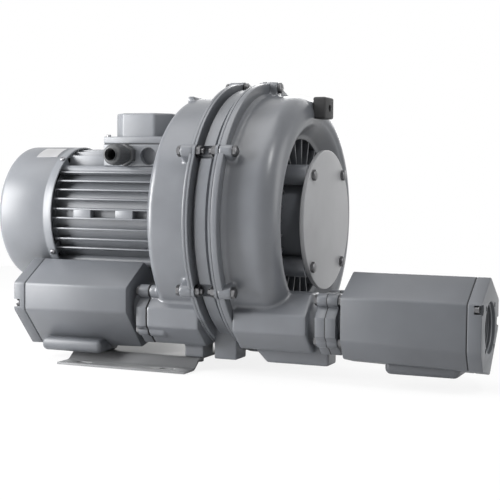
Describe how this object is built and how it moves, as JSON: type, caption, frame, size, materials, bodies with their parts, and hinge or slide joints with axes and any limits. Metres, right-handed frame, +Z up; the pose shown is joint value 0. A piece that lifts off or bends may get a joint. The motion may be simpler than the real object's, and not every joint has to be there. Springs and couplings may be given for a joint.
{
  "type": "side channel blower",
  "caption": "Grey two-stage side channel blower with finned motor, terminal box, angular inlet and outlet silencers and a slotted base plate.",
  "frame": {"origin": "on the floor, in the middle of the four slots of the base plate", "axes": "+X along the motor shaft towards the front cover, +Y to the side away from the silencers, +Z up"},
  "size_m": [0.7277, 0.38, 0.4],
  "materials": {
    "casing_paint": "satin grey paint on cast aluminium",
    "motor_paint": "satin grey paint on cast aluminium",
    "cowl_paint": "satin grey paint on sheet steel",
    "silencer_paint": "matt grey paint on cast aluminium",
    "base_paint": "light grey paint on bent sheet steel",
    "zinc_steel": "zinc plated",
    "bright_steel": "machined",
    "cast_aluminium": "as cast",
    "core_steel": "stacked sheet",
    "copper_winding": "lacquered copper wire",
    "brass": "plain",
    "black_rubber": "matt black",
    "black_plastic": "moulded",
    "gland_plastic": "moulded dark grey",
    "foam": "open-cell sound foam"
  },
  "bodies": {
    "casing": {"base_plate": "base_paint", "base_plate_bolts": "zinc_steel", "rear_housing": "casing_paint", "middle_housing": "casing_paint", "front_cover": "casing_paint", "rear_stage_bolts": "zinc_steel", "rear_stage_nuts": "zinc_steel", "front_stage_bolts": "zinc_steel", "front_stage_nuts": "zinc_steel", "hub_cover": "casing_paint", "hub_cover_bolts": "zinc_steel", "hub_cover_gasket": "black_rubber", "front_pad": "black_rubber", "front_pad_screw": "zinc_steel", "shaft_seals": "black_rubber", "rear_bearing_outer": "bright_steel", "front_bearing_outer": "bright_steel", "motor_frame": "motor_paint", "rear_end_shield": "motor_paint", "tie_rods": "zinc_steel", "stator_core": "core_steel", "stator_winding": "copper_winding", "fan_cowl": "cowl_paint", "fan_cowl_screws": "zinc_steel", "terminal_box_base": "motor_paint", "terminal_box_gasket": "black_rubber", "terminal_box_lid": "motor_paint", "terminal_lid_screws": "zinc_steel", "terminal_block": "black_plastic", "terminal_studs": "brass", "cable_gland_body": "gland_plastic", "cable_gland_seal": "black_rubber", "cable_gland_nut": "gland_plastic", "rear_port_adaptor": "silencer_paint", "front_port_adaptor": "silencer_paint", "port_gaskets": "black_rubber", "rear_port_bolts": "zinc_steel", "front_port_bolts": "zinc_steel", "front_port_nuts": "zinc_steel", "rear_silencer_body": "silencer_paint", "front_silencer_body": "silencer_paint", "rear_silencer_cap": "silencer_paint", "front_silencer_cap": "silencer_paint", "silencer_cap_gaskets": "black_rubber", "silencer_foam": "foam", "silencer_tubes": "bright_steel", "silencer_cap_screws": "zinc_steel"},
    "rotor": {"rear_impeller": "cast_aluminium", "front_impeller": "cast_aluminium", "impeller_keys": "bright_steel", "impeller_spacer": "bright_steel", "impeller_locknut": "bright_steel", "rotor_shaft": "bright_steel", "rotor_core": "core_steel", "rotor_end_rings": "cast_aluminium", "rear_bearing_inner": "bright_steel", "front_bearing_inner": "bright_steel", "cooling_fan": "black_plastic", "fan_clip": "bright_steel"}
  },
  "joints": [
    {"name": "rotor_spin", "type": "hinge", "parent": "casing", "child": "rotor", "pos_m": [0, 0, 0.207], "axis": [1, 0, 0], "continuous": true}
  ]
}
